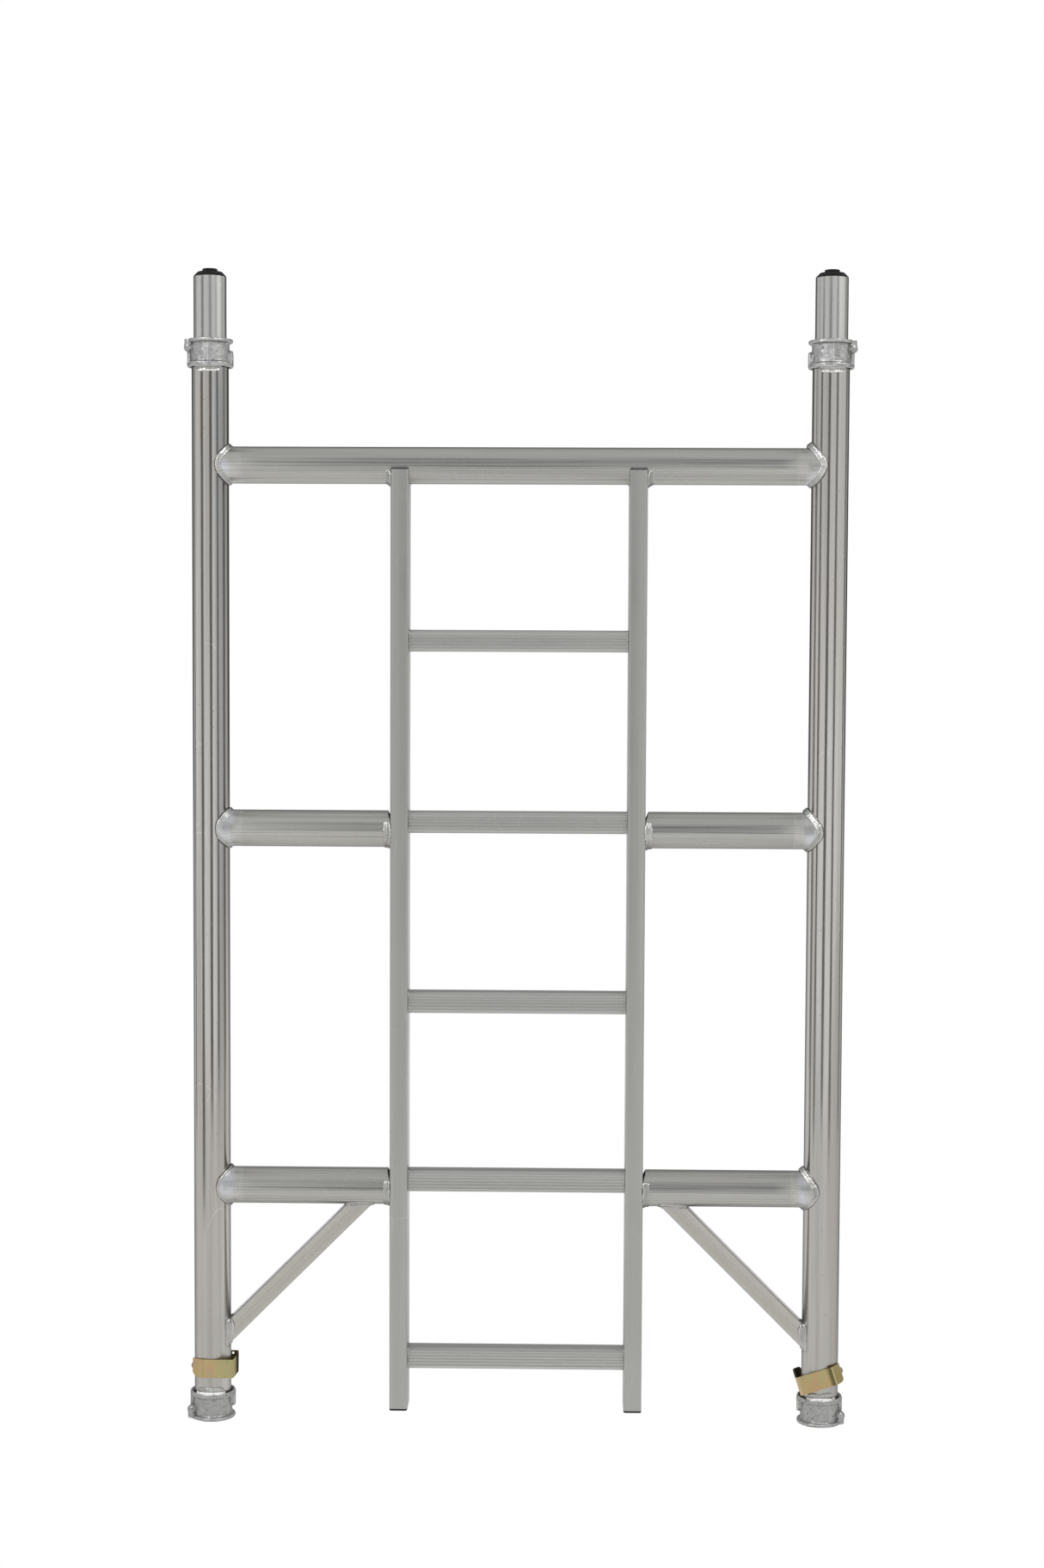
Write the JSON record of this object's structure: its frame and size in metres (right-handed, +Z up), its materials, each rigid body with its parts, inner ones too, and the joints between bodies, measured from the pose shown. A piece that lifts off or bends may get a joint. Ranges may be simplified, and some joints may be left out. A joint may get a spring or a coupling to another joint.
{
  "type": "scaffold tower ladder frame",
  "caption": "Welded aluminium scaffold end frame: two round standards, ribbed ledgers, built-in ladder, knee braces, top spigots, cast collars and swivelling locking clips at the feet.",
  "frame": {"origin": "midway between the two standards, on the plane of the foot collars' bottom faces", "axes": "+X to the right across the frame, -Y towards the side the ladder faces, +Z up along the standards"},
  "size_m": [0.9194, 0.0636, 1.5958],
  "materials": {
    "mill_tube": "mill-finish drawn tube, bright with long faint die lines",
    "mill_spigot": "mill-finish tube, lightly scuffed",
    "ribbed_tube": "mill-finish extrusion with fine longitudinal ribs",
    "brace_tube": "mill-finish square tube",
    "ladder_extrusion": "dull mill-finish extrusion",
    "cast_aluminium": "rough sand-cast surface",
    "weld_metal": "bright rippled weld bead",
    "yellow_zinc": "yellow passivated zinc with green and pink tints",
    "zinc_pin": "dull plated steel",
    "black_plastic": "moulded black plastic"
  },
  "bodies": {
    "frame": {"left_standard": "mill_tube", "left_spigot": "mill_spigot", "left_spigot_plug": "black_plastic", "left_top_collar": "cast_aluminium", "left_foot_collar": "cast_aluminium", "right_standard": "mill_tube", "right_spigot": "mill_spigot", "right_spigot_plug": "black_plastic", "right_top_collar": "cast_aluminium", "right_foot_collar": "cast_aluminium", "top_ledger": "ribbed_tube", "mid_ledger_left": "ribbed_tube", "mid_ledger_right": "ribbed_tube", "low_ledger_left": "ribbed_tube", "low_ledger_right": "ribbed_tube", "knee_brace_left": "brace_tube", "ladder_stile_left": "ladder_extrusion", "stile_foot_plug_left": "black_plastic", "knee_brace_right": "brace_tube", "ladder_stile_right": "ladder_extrusion", "stile_foot_plug_right": "black_plastic", "ladder_rung_1": "ladder_extrusion", "ladder_rung_2": "ladder_extrusion", "ladder_rung_3": "ladder_extrusion", "ladder_rung_4": "ladder_extrusion", "ladder_rung_5": "ladder_extrusion", "ledger_welds": "weld_metal", "stub_welds": "weld_metal", "stile_top_welds": "weld_metal", "collar_welds": "weld_metal", "brace_welds": "weld_metal", "rung_welds": "weld_metal"},
    "left_clip": {"left_clip_strap": "yellow_zinc", "left_clip_pin": "zinc_pin"},
    "right_clip": {"right_clip_strap": "yellow_zinc", "right_clip_pin": "zinc_pin"}
  },
  "joints": [
    {"name": "left_clip_swivel", "type": "hinge", "parent": "frame", "child": "left_clip", "pos_m": [-0.44913, 0, 0.0715], "axis": [1, 0, 0], "range_deg": [-1, 15]},
    {"name": "right_clip_droop", "type": "hinge", "parent": "frame", "child": "right_clip", "pos_m": [0.44913, 0, 0.0715], "axis": [0, 1, 0], "range_deg": [0, 30]}
  ]
}
